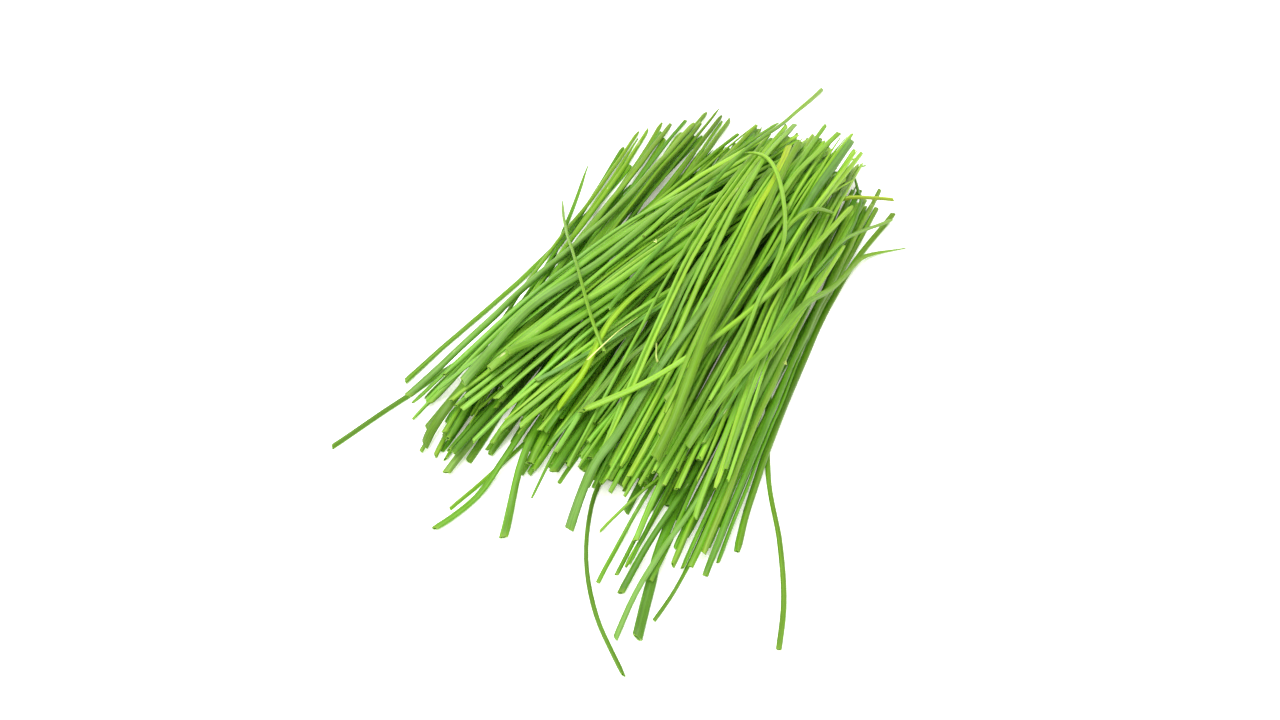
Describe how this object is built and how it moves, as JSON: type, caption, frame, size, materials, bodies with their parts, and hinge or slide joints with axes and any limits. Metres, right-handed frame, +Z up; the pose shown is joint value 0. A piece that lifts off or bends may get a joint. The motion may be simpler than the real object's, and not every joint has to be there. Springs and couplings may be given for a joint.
{
  "type": "chive bunch",
  "caption": "Loose bunch of cut chives, slender round green leaves in a low heap, lying the same way with their thick cut ends together.",
  "frame": {"origin": "middle of the bunch's footprint, on the surface that it lies on", "axes": "+Y along the leaves, from their thick cut ends to their thin ends; +X across the bunch, to the right as seen from the thick ends; +Z up"},
  "size_m": [0.1488, 0.256, 0.0347],
  "materials": {
    "deep_green": "deep green leaf skin with a thin dull wax bloom",
    "mid_green": "mid green leaf skin with a thin dull wax bloom",
    "blue_green": "blue green leaf skin with a heavier wax bloom",
    "light_green": "light green leaf skin, satin",
    "yellow_green": "yellow green leaf skin, satin"
  },
  "bodies": {
    "root": {"leaf_front_curved": "deep_green", "leaf_right_curved": "deep_green", "leaf_left_long": "deep_green", "leaf_left_second": "mid_green", "leaf_left_thin": "mid_green", "leaf_far_thin": "mid_green", "leaf_left_slim": "mid_green", "sheaf_base_left": "deep_green", "sheaf_base_right": "deep_green", "leaf_right_edge": "deep_green", "leaf_front_wide": "deep_green", "leaf_front_fine": "deep_green", "leaf_left_low": "blue_green", "sheaf_base_middle": "mid_green", "sheaf_right_flank": "deep_green", "leaf_front_dark": "deep_green", "sheaf_front_right": "mid_green", "leaf_front_second": "blue_green", "leaf_front_slim": "mid_green", "sheaf_front_left": "deep_green", "leaf_front_low_curve": "mid_green", "sheaf_far_left": "mid_green", "leaf_left_thick": "deep_green", "sheaf_middle_left": "mid_green", "sheaf_middle_right": "mid_green", "leaf_hooked": "deep_green", "leaf_front_thick": "mid_green", "leaf_front_thin": "mid_green", "leaf_front_crossing": "light_green", "leaf_front_lime": "light_green", "sheaf_upper_far": "deep_green", "sheaf_upper_middle": "blue_green", "leaf_yellow_curved": "yellow_green", "leaf_wilted_green": "mid_green", "leaf_wilted_yellow": "yellow_green", "sheaf_upper_left": "mid_green", "sheaf_upper_right": "light_green", "sheaf_diagonal": "blue_green", "leaf_left_blue": "blue_green", "leaf_left_pale": "blue_green", "leaf_left_bright": "light_green", "leaf_left_blunt": "light_green", "leaf_diagonal": "mid_green", "leaf_middle_slim": "blue_green", "leaf_middle_blue": "blue_green", "leaf_yellow_top": "yellow_green", "sheaf_top": "light_green", "leaf_wide_pale": "blue_green", "leaf_right_lime": "light_green", "leaf_right_pale": "blue_green", "leaf_right_thin": "mid_green", "leaf_right_bent": "mid_green", "leaf_right_arc": "mid_green", "leaf_crossing_pale": "light_green", "leaf_yellow_narrow": "yellow_green", "leaf_middle_wide": "light_green", "leaf_arched": "light_green", "leaf_crossing_thin": "mid_green", "leaf_far_stray": "mid_green"}
  },
  "joints": []
}
